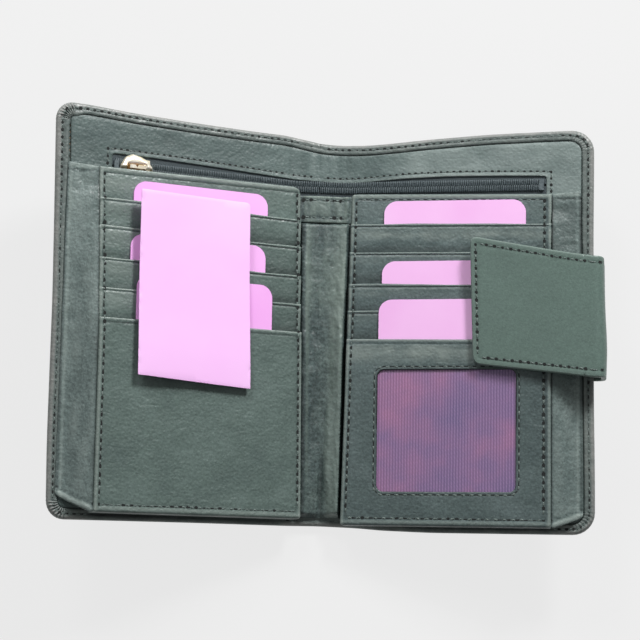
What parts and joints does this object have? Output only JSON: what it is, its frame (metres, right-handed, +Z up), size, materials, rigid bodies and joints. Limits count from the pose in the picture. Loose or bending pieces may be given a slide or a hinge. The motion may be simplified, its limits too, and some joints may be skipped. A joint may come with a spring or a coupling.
{
  "type": "coupon organizer wallet",
  "caption": "Bifold coupon wallet lying open: card pages on both covers, a zip pocket across the top and a magnetic strap round the edge.",
  "frame": {"origin": "middle of the spine's flat underside, on the table", "axes": "+X across the open wallet towards the cover with the strap, +Y up the pages towards the zip, +Z up from the table"},
  "size_m": [0.2499, 0.184, 0.0458],
  "materials": {
    "outer_leather": "grained, satin",
    "page_leather": "grained, satin",
    "lining_leather": "smooth, satin",
    "strap_leather": "fine-grained, satin",
    "board": "matte",
    "pocket_fabric": "woven",
    "zip_tape": "woven",
    "zip_chain": "satin",
    "gold_metal": "polished",
    "card_stock": "smooth, matte",
    "window_film": "clear, glossy",
    "window_satin": "satin weave",
    "magnet": "satin"
  },
  "bodies": {
    "spine": {"cover_leather_spine": "outer_leather", "board_spine": "board", "lining_spine": "lining_leather", "zip_tape_spine": "zip_tape", "zip_chain_spine": "zip_chain", "divider_spine": "page_leather", "mouth_strip": "page_leather"},
    "cover_left": {"cover_leather_left": "outer_leather", "board_left": "board", "lining_left": "lining_leather", "zip_tape_left": "zip_tape", "zip_chain_left": "zip_chain", "zip_stop_left": "zip_chain", "zip_pocket_left": "pocket_fabric", "divider_left": "page_leather", "bottom_seam_left": "page_leather", "wing_left": "page_leather", "slot_left_1": "page_leather", "slot_left_2": "page_leather", "slot_left_3": "page_leather", "slot_left_4": "page_leather", "front_panel_left": "page_leather", "magnet_cover": "magnet"},
    "cover_right": {"cover_leather_right": "outer_leather", "board_right": "board", "lining_right": "lining_leather", "zip_tape_right": "zip_tape", "zip_chain_right": "zip_chain", "zip_stop_right": "zip_chain", "zip_pocket_right": "pocket_fabric", "divider_right": "page_leather", "bottom_seam_right": "page_leather", "wing_right": "page_leather", "slot_right_1": "page_leather", "slot_right_2": "page_leather", "slot_right_3": "page_leather", "slot_right_4": "page_leather", "id_panel": "page_leather", "id_film": "window_film", "id_lining": "window_satin", "strap_anchor": "outer_leather"},
    "strap_neck": {"strap_neck": "outer_leather"},
    "strap_fold": {"strap_fold": "outer_leather"},
    "strap_tab": {"strap_tab": "strap_leather", "strap_tab_lining": "outer_leather", "magnet_tab": "magnet"},
    "zip_slider": {"zip_slider": "gold_metal"},
    "zip_pull": {"zip_pull": "gold_metal"},
    "card_left_1": {"card_left_1": "card_stock"},
    "card_left_2": {"card_left_2": "card_stock"},
    "card_left_3": {"card_left_3": "card_stock"},
    "card_right_1": {"card_right_1": "card_stock"},
    "card_right_2": {"card_right_2": "card_stock"},
    "card_right_3": {"card_right_3": "card_stock"},
    "card_loose": {"card_loose": "card_stock"}
  },
  "joints": [
    {"name": "cover_left_fold", "type": "hinge", "parent": "spine", "child": "cover_left", "pos_m": [-0.0112, 0, 0.0016], "axis": [0, 1, 0], "range_deg": [-20, 70]},
    {"name": "cover_right_fold", "type": "hinge", "parent": "spine", "child": "cover_right", "pos_m": [0.0112, 0, 0.0016], "axis": [0, -1, 0], "range_deg": [-12, 75.5]},
    {"name": "strap_root", "type": "hinge", "parent": "cover_right", "child": "strap_neck", "pos_m": [0.1275, 0, 0.02878], "axis": [0, -1, 0], "range_deg": [-90, 0]},
    {"name": "strap_bend", "type": "hinge", "parent": "strap_neck", "child": "strap_fold", "pos_m": [0.12408, 0, 0.042], "axis": [0, 1, 0], "range_deg": [0, 90]},
    {"name": "strap_tip", "type": "hinge", "parent": "strap_fold", "child": "strap_tab", "pos_m": [0.1097, 0, 0.03828], "axis": [0, -1, 0], "range_deg": [0, 90]},
    {"name": "zip_slide", "type": "slide", "parent": "cover_left", "child": "zip_slider", "axis": [-0.9397, 0, 0.342], "range_m": [-0.063, 0.002]},
    {"name": "pull_swing", "type": "hinge", "parent": "zip_slider", "child": "zip_pull", "pos_m": [-0.08127, 0.067, 0.03072], "axis": [0.342, 0, 0.9397], "range_deg": [-30, 30]},
    {"name": "card_left_1_slide", "type": "slide", "parent": "cover_left", "child": "card_left_1", "axis": [0, -1, 0], "range_m": [-0.043, 0]},
    {"name": "card_left_2_slide", "type": "slide", "parent": "cover_left", "child": "card_left_2", "axis": [0, -1, 0], "range_m": [-0.043, 0]},
    {"name": "card_left_3_slide", "type": "slide", "parent": "cover_left", "child": "card_left_3", "axis": [0, -1, 0], "range_m": [-0.043, 0]},
    {"name": "card_right_1_slide", "type": "slide", "parent": "cover_right", "child": "card_right_1", "axis": [0, -1, 0], "range_m": [-0.043, 0]},
    {"name": "card_right_2_slide", "type": "slide", "parent": "cover_right", "child": "card_right_2", "axis": [0, -1, 0], "range_m": [-0.043, 0]},
    {"name": "card_right_3_slide", "type": "slide", "parent": "cover_right", "child": "card_right_3", "axis": [0, -1, 0], "range_m": [-0.043, 0]},
    {"name": "card_loose_slide", "type": "slide", "parent": "cover_left", "child": "card_loose", "axis": [0, -1, 0], "range_m": [-0.05, 0]}
  ],
  "couplings": [
    {"joint": "strap_tip", "follows": "strap_bend", "ratio": 1}
  ]
}
